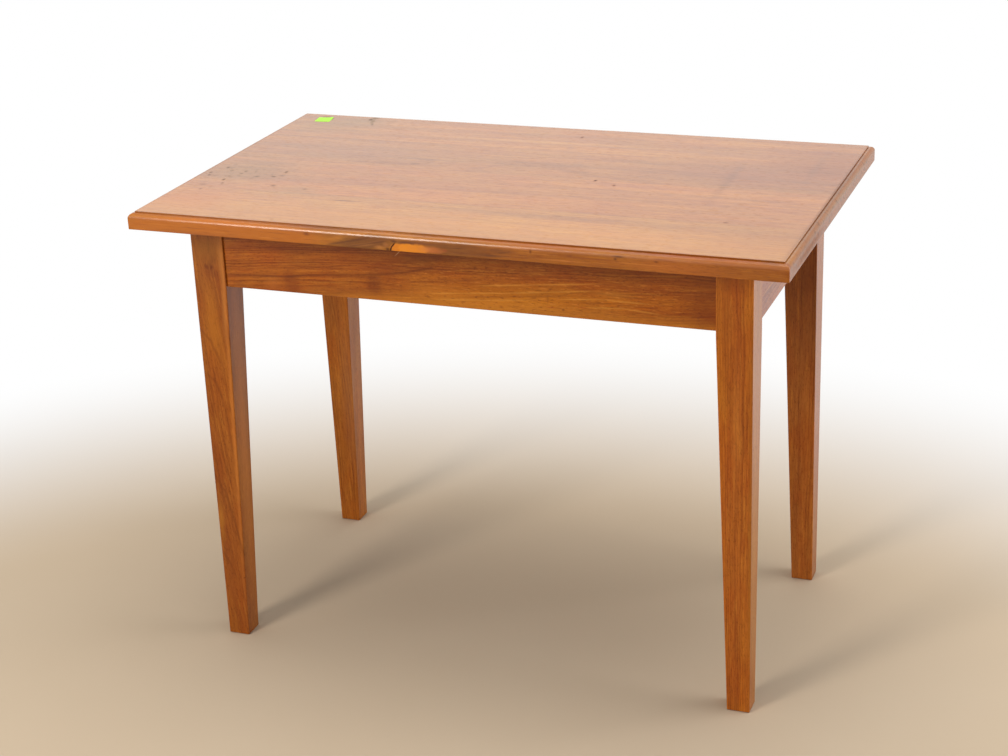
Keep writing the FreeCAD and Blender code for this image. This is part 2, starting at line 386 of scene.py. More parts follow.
# %% [markdown]
# ## Cherry: from rings to colour
#
# Whole bands and clouds of a plank are warmer or redder than their neighbours. Between the ring
# lines run streaks, fibres and tiny pores, short and dark, with lengths and widths taken from real
# cherry. Each darkens the colour below it by multiplying, as a thin stain would. The pores of the
# real wood are a tenth of a millimetre wide, too fine for the picture, so they are drawn more than
# ten times as wide. Where a piece was sawn across, its end grain has drunk more varnish, and is
# darker and greyer.

# %% Draw the grain
BANDS, BANDS_SHOWN = (600, 22), (0.30, 0.70)
CLOUDS, CLOUDS_SHOWN = (60, 24), (0.30, 0.72)
CLOUD_SHADE = "#F6DCBE"
LATE_WOOD_SHADE = "#A88C74"
LATE_WOOD_DEPTH = 0.4  # beside a pore's, which is 1
LIGHT_STREAK = "#DC9434"
END_GRAIN, END_GRAIN_STRENGTH = "#965C34", 0.75
END_GRAIN_STARTS, END_GRAIN_FULL = 0.12, 0.60  # how far a surface faces along the grain, of 1
SLIDE = 2.3  # how far apart the pieces lie in the noise, in metres along the grain
# name: (length and width in mm, detail, where the noise starts to show and is full, shade, strength)
STANDING_GRAIN = {
    "light streaks": ((38, 1.9), 2.0, (0.52, 0.78), None, 0.28),
    "streaks": ((52, 2.8), 2.0, (0.36, 0.70), "#C2AD95", 0.34),
    "fibres": ((11, 1.3), 2.0, (0.38, 0.72), "#C0A98F", 0.38),
    "pores": ((3.4, 1.2), 1.0, (0.55, 0.72), "#80664C", 0.32),
}
LYING_GRAIN = {
    "light streaks": ((55, 5.0), 2.0, (0.54, 0.80), None, 0.10),
    "streaks": ((60, 5.0), 2.0, (0.36, 0.70), "#C2AD95", 0.26),
    "fibres": ((14, 2.6), 2.0, (0.38, 0.72), "#C0A98F", 0.36),
    "pores": ((7.0, 2.4), 1.0, (0.52, 0.72), "#80664C", 0.13),
}


def end_grain(tree, normal, turn):
    """How strongly end grain shows: most where a surface faces along the grain."""
    direction = Matrix.Rotation(turn[2], 3, "Z") @ Matrix.Rotation(turn[1], 3, "Y") @ Vector((1, 0, 0))
    facing = add(tree, "VectorMath", {0: normal, 1: direction}, operation="DOT_PRODUCT")
    squareness = add(tree, "Math", {0: facing}, operation="ABSOLUTE")
    return add(tree, "MapRange", {"Value": squareness, "From Min": END_GRAIN_STARTS,
                                  "From Max": END_GRAIN_FULL, "To Max": END_GRAIN_STRENGTH},
               interpolation_type="SMOOTHSTEP")


def cherry_grain(tree, cut, slide, knots):
    """The place, colour, depth, pores and ends of bare cherry cut from that trunk."""
    coordinates = add(tree, "TexCoord")
    place = coordinates.outputs["Object"]
    along = add(tree, "Mapping", {"Vector": place, "Location": cut["pith"], "Rotation": cut["turn"]},
                vector_type="TEXTURE")
    across = add(tree, "VectorMath", {0: along, 1: (0, 1, 1)}, operation="MULTIPLY")
    distance = add(tree, "VectorMath", {0: across}, operation="LENGTH")
    for centre, reach, swell in knots:
        knot = oval(tree, place, centre, reach, (0, 0, 0), 1.0, swell * MM)
        distance = add(tree, "Math", {0: distance, 1: knot}, operation="ADD")
    grain = add(tree, "VectorMath", {0: along, 1: (slide, 0, 0)}, operation="ADD")

    bands = noise_along(tree, grain, BANDS, 2.0, BANDS_SHOWN)
    colour = add(tree, "Mix", {FACTOR: bands, FIRST: linear(cut["pale"]), SECOND: linear(cut["deep"])},
                 data_type="RGBA")
    clouds = noise_along(tree, grain, CLOUDS, 2.0, CLOUDS_SHOWN)
    cloud_strength = add(tree, "Math", {0: clouds, 1: cut["clouds"]}, operation="MULTIPLY")
    colour = add(tree, "Mix", {FACTOR: cloud_strength, FIRST: colour, SECOND: linear(CLOUD_SHADE)},
                 data_type="RGBA", blend_type="MULTIPLY")
    late_wood = ring_lines(tree, grain, distance, cut["rings"])
    line_strength = add(tree, "Math", {0: late_wood, 1: cut["lines"]}, operation="MULTIPLY")
    colour = add(tree, "Mix", {FACTOR: line_strength, FIRST: colour, SECOND: linear(LATE_WOOD_SHADE)},
                 data_type="RGBA", blend_type="MULTIPLY")
    fine_grain = LYING_GRAIN if cut["lying"] else STANDING_GRAIN
    for size, detail, shown, shade, strength in fine_grain.values():
        shows = noise_along(tree, grain, size, detail, shown)
        amount = add(tree, "Math", {0: shows, 1: strength}, operation="MULTIPLY")
        colour = add(tree, "Mix", {FACTOR: amount, FIRST: colour, SECOND: linear(shade or LIGHT_STREAK)},
                     data_type="RGBA", blend_type="MULTIPLY" if shade else "MIX")
    pores = shows  # the last of the fine grain

    ends = end_grain(tree, coordinates.outputs["Normal"], cut["turn"])
    colour = add(tree, "Mix", {FACTOR: ends, FIRST: colour, SECOND: linear(END_GRAIN)}, data_type="RGBA")
    depth = add(tree, "Math", {0: late_wood, 1: LATE_WOOD_DEPTH, 2: pores}, operation="MULTIPLY_ADD")
    return {"place": place, "colour": colour, "depth": depth, "pores": pores, "ends": ends}


print("standing wood, mm:", {name: values[0] for name, values in STANDING_GRAIN.items()})
print("lying wood, mm:", {name: values[0] for name, values in LYING_GRAIN.items()})

# %% [markdown]
# ## Satin varnish
#
# The finish is a thin brushed varnish, rubbed down to a satin. It shows as two reflections, one
# from the varnish and a duller one from the wood below it, so the Principled shader's coat is laid
# over its own gloss. Both grow strong at a shallow angle, which is why the top and the right-hand
# faces look pale in the picture while the fronts stay deep orange. The pores and the late wood lie
# a few hundredths of a millimetre low, and a bump shows them as a faint silky relief. Over open
# pores, dirt and stains the varnish has gone dull, so there the coat thins.

# %% Varnish the wood
VARNISH_ROUGHNESS = 0.18
VARNISH_IOR = 1.42
VARNISH_ON_TOP, VARNISH_ON_FRAME = 0.95, 0.58
WOOD_ROUGHNESS, PORE_ROUGHNESS = 0.40, 0.52
WOOD_GLOSS = 0.05
PORES_DULL, ENDS_DULL = 0.14, 0.65
RELIEF, RELIEF_STRENGTH = 0.03 * MM, 0.8


def varnish(material, wood, thickness):
    """Ends a cherry material: its colour, gloss and relief under a satin coat."""
    tree = material.node_tree
    relief = add(tree, "Bump", {"Height": wood["depth"], "Distance": RELIEF,
                                "Strength": RELIEF_STRENGTH}, invert=True)
    gloss = add(tree, "MapRange", {"Value": wood["pores"], "To Min": WOOD_ROUGHNESS,
                                   "To Max": PORE_ROUGHNESS})
    coat = add(tree, "MapRange", {"Value": wood["dull"], "To Min": thickness, "To Max": 0.0})
    surface = add(tree, "BsdfPrincipled", {
        "Base Color": wood["colour"], "Roughness": gloss, "Specular IOR Level": WOOD_GLOSS,
        "Coat Weight": coat, "Coat Roughness": VARNISH_ROUGHNESS, "Coat IOR": VARNISH_IOR,
        "Normal": relief, "Coat Normal": relief})
    add(tree, "OutputMaterial", {"Surface": surface})
    return material


def dress(name, material):
    """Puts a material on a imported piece."""
    mesh = nodes[name].data
    if mesh.materials:
        mesh.materials[0] = material
    else:
        mesh.materials.append(material)


print("varnish roughness:", VARNISH_ROUGHNESS)

# %% [markdown]
# ## The marks of this one table
#
# A planed board is never quite clean, and this table has had a life. Its front edge has a short
# crack beside a bright orange patch where the grain dives round a knot. The front rail has one dark
# flowing line and a golden half. The top has a dirty streak by the label, a speckled grey patch
# near the left end, flecks, and two faint lines across the grain. Other marks are painted light and
# shade: painted shade in the small step of the moulding, painted shadow under the top on the front
# rail and on the heads of two legs, the painted shadow of the label, and painted light on the front
# edge, its quarter round, the front of the top, one leg and the foot of the rail. Painting all this
# by hand would need a picture. Here each mark is a soft oval, placed in millimetres on the table,
# that turns the wood's colour towards its own, and a line of grain is a row of thin ovals through a
# few points. A noise shakes the outline of the larger ones, so that none looks drawn.

# %% Make the kinds of marks
SURFACE_DEPTH = 6.0  # how far a mark reaches through its surface, in mm
OVERLAP = 1.45  # how far the stretches of a line run into each other
STEP_BACK, STEP_DOWN = 4.5, 2.4  # the step's middle, behind the front edge and below the top, in mm
TOP_MM = TOP_FACE / MM
EDGE_MM = FRONT_EDGE / MM
RIGHT_MM = RIGHT_END / MM
RAIL_MM = APRON_FRONT / MM
LEG_MM = LEG_FRONT / MM
LEG_RIGHT_MM = LEG_RIGHT / MM
REAR_LEG_MM = REAR_LEG_FRONT / MM


def mark(centre, reach, colour, strength, turn=(0, 0, 0), soft=1.0, dull=0.0, specks=None):
    """A soft oval in mm: how strong its colour is, how soft its rim, how much it dulls the varnish,
    and the length and width of its specks, where it is a scatter of them."""
    return {"centre": centre, "reach": reach, "colour": colour, "strength": strength, "turn": turn,
            "soft": soft, "dull": dull, "specks": specks}


def on_top(x, y, long, wide, colour, strength, dull=0.0, turn=0.0, soft=1.0, specks=None):
    """A mark on the top face."""
    return mark((x, y, TOP_MM), (long, wide, SURFACE_DEPTH), colour, strength, (0, 0, turn), soft,
                dull, specks)


def on_step(x, long, colour, strength, dull, soft=1.0, wide=5.0):
    """Painted shade in the step of the moulding, along the front."""
    return mark((x, EDGE_MM + STEP_BACK, TOP_MM - STEP_DOWN), (long, wide, wide - 1), colour, strength,
                soft=soft, dull=dull)


def on_front(y, x, z, long, high, colour, strength, rise=0.0, soft=1.0, dull=0.0):
    """A mark on a face that looks to the front. Its long side climbs to the right by its rise."""
    return mark((x, y, z), (long, SURFACE_DEPTH, high), colour, strength, (0, -rise, 0), soft, dull)


def line_on_front(y, points, width, colour, strength, dull=0.0):
    """A line of grain through those points of a front face: a thin oval for each stretch."""
    row = []
    for (x1, z1), (x2, z2) in zip(points, points[1:]):
        half = math.hypot(x2 - x1, z2 - z1) / 2
        row.append(on_front(y, (x1 + x2) / 2, (z1 + z2) / 2, OVERLAP * half + 2 * width, width, colour,
                            strength, math.atan2(z2 - z1, x2 - x1), soft=0.8, dull=dull))
    return row


on_edge = partial(on_front, EDGE_MM)
on_rail = partial(on_front, RAIL_MM)
on_leg = partial(on_front, LEG_MM)
print("surfaces, mm:", [round(value, 1) for value in (TOP_MM, EDGE_MM, RAIL_MM, LEG_MM)])

# %% [markdown]
# ## The marks on the top
#
# The places were read off the picture of the real table, turned into millimetres on each face. The
# wide faint marks set the drift of colour over a board, and the small strong ones are flecks and
# dirt. Dirt, flecks and stains also dull the varnish. One list serves all four boards, because some
# marks cross the glue lines, and each board takes those that reach it.

# %% List the marks on the top
FLECK, DIRT, EARTH = "#50341A", "#40301C", "#7A5E36"
SPATTER = (5, 8)  # the length and width of its specks, in mm
TOP_MARKS = [
    # x, y, reach along and across in mm, colour, strength, dullness
    # the dirty streak and the smudge round it, near the label
    on_top(-295, 168, 96, 62, EARTH, 0.46, 0.1),
    on_top(-262, 188, 52, 30, EARTH, 0.36, 0.08),
    on_top(-251, 191, 5, 20, "#64502E", 0.6, 0.5, turn=0.25),
    on_top(-254, 207, 8, 8, "#64502E", 0.7, 0.55),
    on_top(-257, 198, 4.5, 6, DIRT, 0.9, 0.9),
    on_top(-246, 178, 2.5, 7, DIRT, 0.6, 0.6, turn=0.3),
    # painted shadow of the label, along its far side
    on_top(-316, 200, 12, 5, "#6A3A1C", 0.7, 0.6),
    # the speckled patch near the left end
    on_top(-305, -40, 96, 76, EARTH, 0.5, 0.12),
    on_top(-302, -48, 66, 54, FLECK, 0.66, 0.62, specks=SPATTER),
    on_top(-322, -108, 26, 22, FLECK, 0.45, 0.45, specks=SPATTER),
    on_top(-215, -100, 46, 26, EARTH, 0.3, 0.06),
    on_top(-330, -35, 2.8, 6, FLECK, 0.85, 0.85),
    on_top(-340, -57, 3.6, 4.6, FLECK, 0.8, 0.8),
    on_top(-337, -67, 3.2, 4.6, FLECK, 0.8, 0.8),
    on_top(-312, -80, 3.2, 5.4, FLECK, 0.85, 0.85),
    on_top(-307, -93, 3, 4, FLECK, 0.8, 0.8),
    on_top(-256, -37, 3.2, 5.2, FLECK, 0.95, 0.95),
    on_top(-262, -57, 5.4, 3.6, FLECK, 0.85, 0.8),
    on_top(-254, -52, 5, 4, FLECK, 0.6, 0.5),
    on_top(-281, -61, 6, 4.5, FLECK, 0.6, 0.5),
    on_top(-246, -90, 5.4, 4, FLECK, 0.8, 0.7),
    on_top(-206, -94, 4, 4, FLECK, 0.7, 0.6),
    on_top(-320, -119, 3.2, 5.4, FLECK, 0.7, 0.6),
    on_top(-325, -103, 9, 6, FLECK, 0.45, 0.3),
    on_top(-320, -155, 90, 66, "#AC561C", 0.34, 0.1),
    # single flecks
    on_top(22, 175, 3, 6, "#5A2C14", 0.85, 0.8),
    on_top(24, 126, 8, 10, "#6B3A1C", 0.35),
    on_top(-192, -202, 3.5, 3.5, "#5A3018", 0.7, 0.5),
    on_top(92, 8, 3, 5, "#3E1E10", 0.95, 0.95),
    on_top(117, -5, 3, 5, "#4A2614", 0.85, 0.85),
    on_top(265, -105, 5, 4, "#5A2E18", 0.7, 0.6),
    on_top(92, -123, 10, 5, "#6B3A1E", 0.4, 0.2),
    # lines and drifts of the grain
    on_top(-147, -124, 28, 2.8, "#4E220E", 0.65, 0.35, turn=0.06),
    on_top(-160, 23, 70, 9, "#6A3418", 0.42, 0.12, turn=0.02),
    on_top(-127, 27, 8, 5, "#4E2612", 0.5, 0.3),
    on_top(8, 51, 90, 16, "#6E4024", 0.34, 0.08, turn=-0.04),
    on_top(66, 32, 34, 12, "#5E3620", 0.3, 0.12, turn=-0.3),
    on_top(122, 20, 62, 9, "#6A402A", 0.3, 0.08, turn=-0.08),
    on_top(225, 62, 170, 66, "#7A4228", 0.5, 0.05),
    on_top(330, 118, 130, 130, "#743A24", 0.54, 0.12),
    on_top(205, 138, 130, 16, "#7A4A2C", 0.38),
    on_top(140, -5, 90, 9, "#8A4A24", 0.32),
    # painted light: the front of the top is painted more orange, where its pale reflection is weaker
    on_top(0, -200, 900, 70, "#D0880C", 0.22, soft=0.5),
    on_top(340, -160, 150, 90, "#8A5020", 0.36, 0.05),
    on_top(-200, 66, 150, 60, "#84583A", 0.25),
    on_top(-20, 145, 270, 9, "#D89A44", 0.24),
    on_top(-330, 118, 40, 4, "#7A4026", 0.35),
    on_top(231, 35, 9, 122, "#54301E", 0.26, 0.1),
    on_top(312, 112, 9, 98, "#5E3824", 0.22, 0.08),
]
for glue_line in GLUE_LINES:
    TOP_MARKS.append(on_top(0, glue_line / MM, 420, 0.7, "#5A2C14", 0.3, soft=0.6))
print("marks on the top:", len(TOP_MARKS))

# %% [markdown]
# ## The marks on the moulded edge
#
# The small step of the moulding is painted darker, as the shade in its crease, darkest at the right
# end and in short stretches of the front, and its varnish is duller there. The front edge has the
# wildest wood of the table, so it has the most marks: streaks, the grain that swirls, the crack, and
# the orange patch, which is a few ovals that run into each other. Painted light makes the edge
# brighter to the left, where the low front lamp falls, and a painted highlight runs along its
# quarter round.

# %% List the marks on the edge
STEP_MARKS = [
    # painted shade in the step: at the right end, at the left end, and in stretches along the front
    mark((RIGHT_MM - 5.8, 0, TOP_MM - 0.8), (4.4, 340, 3.6), "#65391C", 0.72, dull=0.42),
    mark((RIGHT_MM - 8, -160, TOP_MM), (5, 120, 3), "#84542C", 0.4, dull=0.2),
    # the right end's quarter round and end face, darker and greyer
    mark((RIGHT_MM - 3.6, 0, TOP_MM - 2.6), (3, 340, 3.4), "#785840", 0.55, dull=0.3),
    mark((RIGHT_MM - 0.2, 0, TOP_MM - 5), (3.4, 340, 5), "#94765C", 0.6, dull=0.3),
    mark((RIGHT_MM, -130, TOP_MM - 12), (9, 160, 14), "#80481E", 0.5, dull=0.9),
    mark((RIGHT_MM, 0, TOP_MM - 11), (12, 340, 15), "#4E3420", 0.5, soft=0.5, dull=0.3,
         specks=(7, 5)),
    mark((6.6 - RIGHT_MM, 0, TOP_MM - 0.6), (3, 340, 3), "#6E4022", 0.45, dull=0.35),
    on_step(130, 260, "#7E300E", 0.6, 0.5, soft=0.7),
    on_step(-230, 260, "#8E4020", 0.48, 0.15, soft=0.7),
    on_step(-115, 64, "#5E3414", 0.6, 0.35),
    on_step(290, 120, "#7A2C0A", 0.6, 0.6, soft=0.7, wide=5.5),
    on_step(-150, 50, "#5E2C10", 0.3, 0.2),
    on_step(-20, 42, "#5E2C10", 0.34, 0.3),
    on_step(200, 50, "#5E2C10", 0.3, 0.3),
    on_step(336, 16, "#4E2A18", 0.45, 0.45),
]
EDGE_MARKS = [
    # x, height, reach along and up in mm, colour, strength
    # painted shade on the step's face and the rim of the flat top behind it
    mark((0, EDGE_MM + 7.5, TOP_MM - 1), (900, 2.6, 3), "#74300F", 0.45, dull=0.2),
    # the edge is redder than the top, and painted light makes it bright to the left, where the low front
    # lamp falls, and deep to the right
    on_edge(-250, 509, 160, 16, "#C06A10", 0.7, soft=0.4),
    on_edge(110, 509, 110, 16, "#A4560C", 0.55, soft=0.5),
    on_edge(300, 509, 150, 16, "#A2500A", 0.52, soft=0.6),
    on_edge(-275, 504, 90, 4.5, "#96501A", 0.5),
    on_edge(238, 509, 84, 14, "#C8702C", 0.32),
    # the streaks along it
    mark((0, EDGE_MM, 509), (900, 6, 16), "#7A3A0C", 0.34, soft=0.5, specks=(40, 2.4)),
    mark((30, EDGE_MM, 509), (900, 6, 16), "#D88830", 0.26, soft=0.5, specks=(55, 1.8)),
    mark((140, EDGE_MM, 509), (330, 6, 16), "#6E340C", 0.36, soft=0.5, specks=(9, 1.2)),
    on_edge(150, 511.6, 50, 1.4, "#7E3A10", 0.5),
    on_edge(128, 507.2, 40, 1.4, "#D08038", 0.4),
    on_edge(172, 505, 36, 1.3, "#8A4414", 0.4),
    # painted highlight: the quarter round is painted paler and pinker, where the front lamp's reflection
    # runs
    mark((0, EDGE_MM + 1.5, TOP_MM - 5), (900, 4, 4), "#B87858", 0.32),
    # the wild grain left of the crack
    on_edge(-82, 509, 44, 11, "#6E3C0C", 0.8, rise=0.16, soft=0.6),
    on_edge(-84, 507, 24, 2.6, "#A06428", 0.7, rise=0.16),
    on_edge(-68, 511.5, 14, 1.6, "#925622", 0.6, rise=0.2),
    on_edge(-112, 512.8, 14, 4, "#C87E28", 0.45, rise=0.16),
    on_edge(-58, 509, 5, 4, "#A86830", 0.6),
    # the crack's surroundings, and the darker stretch right of it
    on_edge(22, 509, 70, 12, "#6A3812", 0.55, soft=0.7),
    on_edge(-20, 513.4, 30, 2.6, "#7A4424", 0.7),
    on_edge(-37, 512.6, 12, 2.4, "#5A3014", 0.75),
    on_edge(66, 512.5, 22, 2.6, "#6A3814", 0.45),
    on_edge(-65, 505.8, 8, 3.4, "#B87430", 0.7),
    on_edge(-49, 513.4, 5, 2.4, "#54290C", 0.8),
    on_edge(55, 506.4, 21, 2.4, "#53290E", 0.6),
    on_edge(68, 510.4, 14, 1.4, "#53260C", 0.6, rise=0.08),
    on_edge(20, 511.4, 14, 1.4, "#53260C", 0.45, rise=0.06),
    # the orange patch
    on_edge(-10, 507.4, 20, 5.2, "#B8662A", 0.8, soft=0.7),
    on_edge(-43, 506.4, 11, 6, "#D87E10", 0.95, soft=0.25),
    on_edge(-33, 506.8, 13, 6.2, "#E28A14", 0.95, soft=0.35),
    on_edge(-23, 507.2, 14, 6.2, "#DE8618", 0.9, soft=0.5),
    on_edge(-14, 507.4, 12, 4.6, "#CC7A38", 0.55),
    on_edge(6, 508, 5, 2.6, "#A04A1E", 0.5),
    on_edge(-35, 513.6, 18, 2.6, "#6A3A18", 0.66),
    # flecks
    on_edge(97, 514, 2.2, 3.2, "#5E2A08", 0.75),
    on_edge(-146, 514, 5.5, 3, "#6E3208", 0.75),
    on_edge(187, 516, 10, 1.6, "#4E2408", 0.75),
    on_edge(184, 513.4, 2.8, 2.2, "#4E2408", 0.7),
    on_edge(225, 513.6, 3.4, 1.8, "#5E2A08", 0.6),
    # the dark lines that run into the crack, and the crack
    *line_on_front(EDGE_MM, [(-122, 504.5), (-100, 509.5), (-80, 514)], 2, "#5A2C06", 0.55),
    *line_on_front(EDGE_MM, [(-100, 504), (-78, 508.5), (-58, 513)], 1.4, "#5A2C06", 0.55),
    on_edge(-56, 504.6, 3.6, 2.8, "#4A2008", 0.85, dull=0.5),
    *line_on_front(EDGE_MM, [(-53.2, 502.5), (-51.8, 507), (-48.5, 511)], 1.2, "#32140A", 1, dull=0.9),
]
print("marks on the edge:", len(STEP_MARKS) + len(EDGE_MARKS))

# %% [markdown]
# ## The marks on the front rail
#
# The rail is redder to the left and golden to the right. Its one flowing line is drawn twice, once
# wide and faint and once narrow and dark, because a line of late wood has a soft side and a sharp
# one. Thinner lines, dark ones and light ones, run beside it. The shadow of the top is painted as a
# dark strip along the rail's top, and painted light makes a paler band along its foot.

# %% List the marks on the front rail
RAIL_MARKS = [
    # the golden half
    on_rail(60, 445, 190, 27, "#CC821C", 0.5, rise=0.06),
    on_rail(-15, 446, 60, 14, "#CC7C24", 0.3),
    # painted light: a paler band along the foot of the rail, below the painted shadow
    on_rail(65, 427, 320, 22, "#D0882C", 0.46, soft=0.7),
    # the short fibres of the golden half
    mark((70, RAIL_MM, 456), (270, 6, 36), "#D88A38", 0.36, soft=0.5, specks=(12, 1.6)),
    mark((70, RAIL_MM, 456), (270, 6, 36), "#8C4C14", 0.4, soft=0.5, specks=(18, 1.7)),
    mark((70, RAIL_MM, 456), (270, 6, 36), "#70380E", 0.56, soft=0.5, specks=(7, 1.3)),
    # painted shadow of the top's overhang: a dark strip below the top and darker patches at its foot;
    # and darker places of the wood
    on_rail(0, 489, 700, 26, "#55280C", 0.4, soft=0.9),
    on_rail(265, 455, 50, 44, "#6A2E0A", 0.55),
    on_rail(-35, 480, 62, 10, "#4A1E06", 0.42, rise=0.12),
    on_rail(-188, 476, 40, 9, "#5E280A", 0.32),
    on_rail(-193, 442, 14, 20, "#74300C", 0.42, soft=0.7),
    on_rail(-97, 446, 13, 16, "#6A2C0A", 0.5, soft=0.7),
    on_rail(-85, 466, 44, 24, "#7A3C12", 0.3),
    # the swirl
    on_rail(98, 457.3, 6.5, 2.2, "#7A3E10", 0.5, rise=0.75),
    on_rail(95.5, 447, 1.8, 7, "#7E4210", 0.4),
    # lighter places
    on_rail(165, 458, 34, 5, "#C88430", 0.36),
    on_rail(85, 474, 40, 7, "#B46E28", 0.28),
    on_rail(-38, 446, 46, 12, "#C87C28", 0.26),
    on_rail(-216, 440, 16, 14, "#C07230", 0.34),
    # darker places
    on_rail(-256, 467, 10, 5, "#7A3C10", 0.4),
    on_rail(-256, 433, 10, 5, "#7A3C10", 0.4),
    # a scratch, two red lines and specks
    on_rail(-68, 483, 7, 0.8, "#D0A074", 0.6, rise=0.75),
    on_rail(100, 438.5, 12, 1.1, "#A84A18", 0.45),
    on_rail(134, 441.3, 10, 1.1, "#A84A18", 0.45),
    on_rail(112, 437, 2.4, 2.2, "#5E2A08", 0.65),
    on_rail(45, 434, 3.4, 2.2, "#7A3E10", 0.45),
    on_rail(-19, 468, 3.4, 2.4, "#7A3E10", 0.45),
    on_rail(-36, 438, 3, 2, "#7A3E10", 0.45),
]
DARK_LINE = [(-274, 443), (-240, 445), (-200, 446.2), (-180, 449.5), (-150, 453), (-120, 455),
             (-100, 457), (-80, 459.5), (-60, 463), (-30, 470)]
RAIL_MARKS += line_on_front(RAIL_MM, DARK_LINE, 5.5, "#7A3A10", 0.26)
RAIL_MARKS += line_on_front(RAIL_MM, DARK_LINE, 2, "#5A2404", 0.42)
for points in ([(-192, 459), (-150, 461.5), (-118, 466)], [(0, 441), (60, 446.5), (120, 452.5)],
               [(160, 457), (215, 455)], [(125, 446), (165, 448), (222, 447)],
               [(-60, 452), (-20, 456), (30, 462)]):
    RAIL_MARKS += line_on_front(RAIL_MM, points, 1.6, "#6E320A", 0.34)
for points in ([(-35, 442), (0, 445), (50, 449.5), (100, 455), (145, 460)],
               [(-30, 436), (30, 440), (75, 444)], [(20, 455), (80, 461), (150, 468)],
               [(110, 448), (150, 451.5), (205, 451)], [(140, 442), (175, 444), (215, 441)]):
    RAIL_MARKS += line_on_front(RAIL_MM, points, 1.5, "#DC983C", 0.36)
print("marks on the front rail:", len(RAIL_MARKS))

# %% [markdown]
# ## The marks on the legs
#
# The front left leg has a pair of pin knots and a few arched lines, where the saw cut across the
# rings, a painted highlight down one edge, and a right-hand face painted paler, as painted light.
# The other legs drift in colour, and two of them have painted shade at the top. The last lines
# gather the marks by piece, and say where the rings swell round a knot.

# %% List the marks on the legs, and gather all
HALF_LEG = 19  # mm
TAPER_TILT = 0.030  # how far the inner faces of a leg lean, in radians

LEG_MARKS = [
    # the pair of pin knots, and the drifts of colour
    on_leg(-290, 472, 34, 30, "#8A5A1C", 0.55),
    on_leg(-290, 444, 9, 9, "#7E3E12", 0.38),
    on_leg(-293.4, 451, 3.6, 5, "#5E2408", 0.62, rise=0.5),
    on_leg(-286.6, 451, 3.8, 5, "#5E2408", 0.62, rise=-0.3),
    on_leg(-292, 385, 15, 70, "#BE741A", 0.45),
    # painted highlight: a light line down the right-hand edge of its front
    *line_on_front(LEG_MM, [(-275.5, 478), (-275, 432), (-278, 375)], 4.5, "#C4803A", 0.4),
    on_leg(-290, 60, 30, 150, "#8A4012", 0.1),
    # painted light: its shaded right-hand face is painted paler, and a darker strip runs down its front
    mark((-278.2, LEG_MM + 18, 290), (4.8, 28, 420), "#E08C3C", 0.64, (0, TAPER_TILT, 0), soft=0.7),
    on_front(LEG_MM - 2, -283, 210, 4.9, 115, "#8A4A18", 0.4),
    # a lighter drift, and a fleck near the foot
    on_leg(-306, 145, 6, 45, "#C8862E", 0.35),
    on_leg(-283.5, 75, 2.8, 1.2, "#4E1E04", 0.6, rise=0.5),
]
for points in ([(-309, 327), (-297, 318), (-291, 303), (-287, 285), (-285, 265), (-283, 235)],
               [(-309, 202), (-298, 183), (-292, 160), (-286, 130), (-280, 100)],
               [(-309, 107), (-300, 92), (-294, 74)], [(-309, 378), (-298, 366), (-287, 340)],
               [(-298, 240), (-293, 215), (-290, 195)]):
    LEG_MARKS += line_on_front(LEG_MM, points, 2.6, "#6A320A", 0.31)

MARKS = {name: TOP_MARKS + STEP_MARKS for name in BOARDS}
MARKS["front_board"] += EDGE_MARKS
MARKS["front_apron"] = RAIL_MARKS
MARKS["front_left_leg"] = LEG_MARKS
MARKS["front_right_leg"] = [
    # its outer face is browner, its front is darker to the left, and painted shadow of the top darkens
    # its head
    mark((LEG_RIGHT_MM, LEG_MM + HALF_LEG, 240), (6, 30, 420), "#94601A", 0.5, soft=0.5),
    on_leg(293, 330, 7, 120, "#DC9040", 0.2),
    on_leg(280, 430, 8, 110, "#9A4E14", 0.42),
    on_leg(280, 484, 9, 16, "#8A4414", 0.4),
]
MARKS["rear_left_leg"] = [
    # its right-hand face is browner and duller, and painted shade under the rails darkens its front at
    # the top
    mark((-277, REAR_LEG_MM + 20, 330), (10, 30, 190), "#86581C", 0.4, dull=0.35),
    mark((-300, REAR_LEG_MM + 4, 300), (26, 10, 64), "#6E3A1C", 0.34),
    mark((-282, REAR_LEG_MM + 7, 170), (20, 12, 170), "#A07454", 0.28),
]
MARKS["rear_right_leg"] = [
    # its outer face is browner
    mark((LEG_RIGHT_MM, REAR_LEG_MM + HALF_LEG, 330), (6, 40, 190), "#96601C", 0.25, dull=0.22),
]

KNOTS = {
    # centre, reach, and how far the rings swell, all in mm
    "front_board": [((-62, EDGE_MM, 509), (64, 26, 22), 15)],
    "front_apron": [((98, RAIL_MM, 457), (30, 20, 14), 3)],
    "rear_middle_board": [((10, 34, TOP_MM), (150, 26, 40), 9)],
    "front_left_leg": [((-290, LEG_MM, 450), (12, 12, 26), 5)],
}
print("marks listed:", {name: len(spots) for name, spots in MARKS.items()})

# %% [markdown]
# ## Put the wood on the pieces
#
# Every cherry piece now gets a material of its own: bare grain from its trunk, the marks that reach
# it, and the varnish. One material could serve all twelve, but then the grain would run through the
# joints as if the table were carved from one block.

# %% Dress the cherry
SHAKE_SIZE, SHAKE = 9 * MM, 5 * MM  # the width of the shaking, and how far it moves an outline
NOISE_MIDDLE = (0.5, 0.5, 0.5)
SPECKS_SHOWN = (0.56, 0.68)


def touches(name, spot):
    """True where a mark reaches the piece's box."""
    low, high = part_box(name)
    return all(low[k] / MM < spot["centre"][k] + spot["reach"][k]
               and high[k] / MM > spot["centre"][k] - spot["reach"][k] for k in range(3))


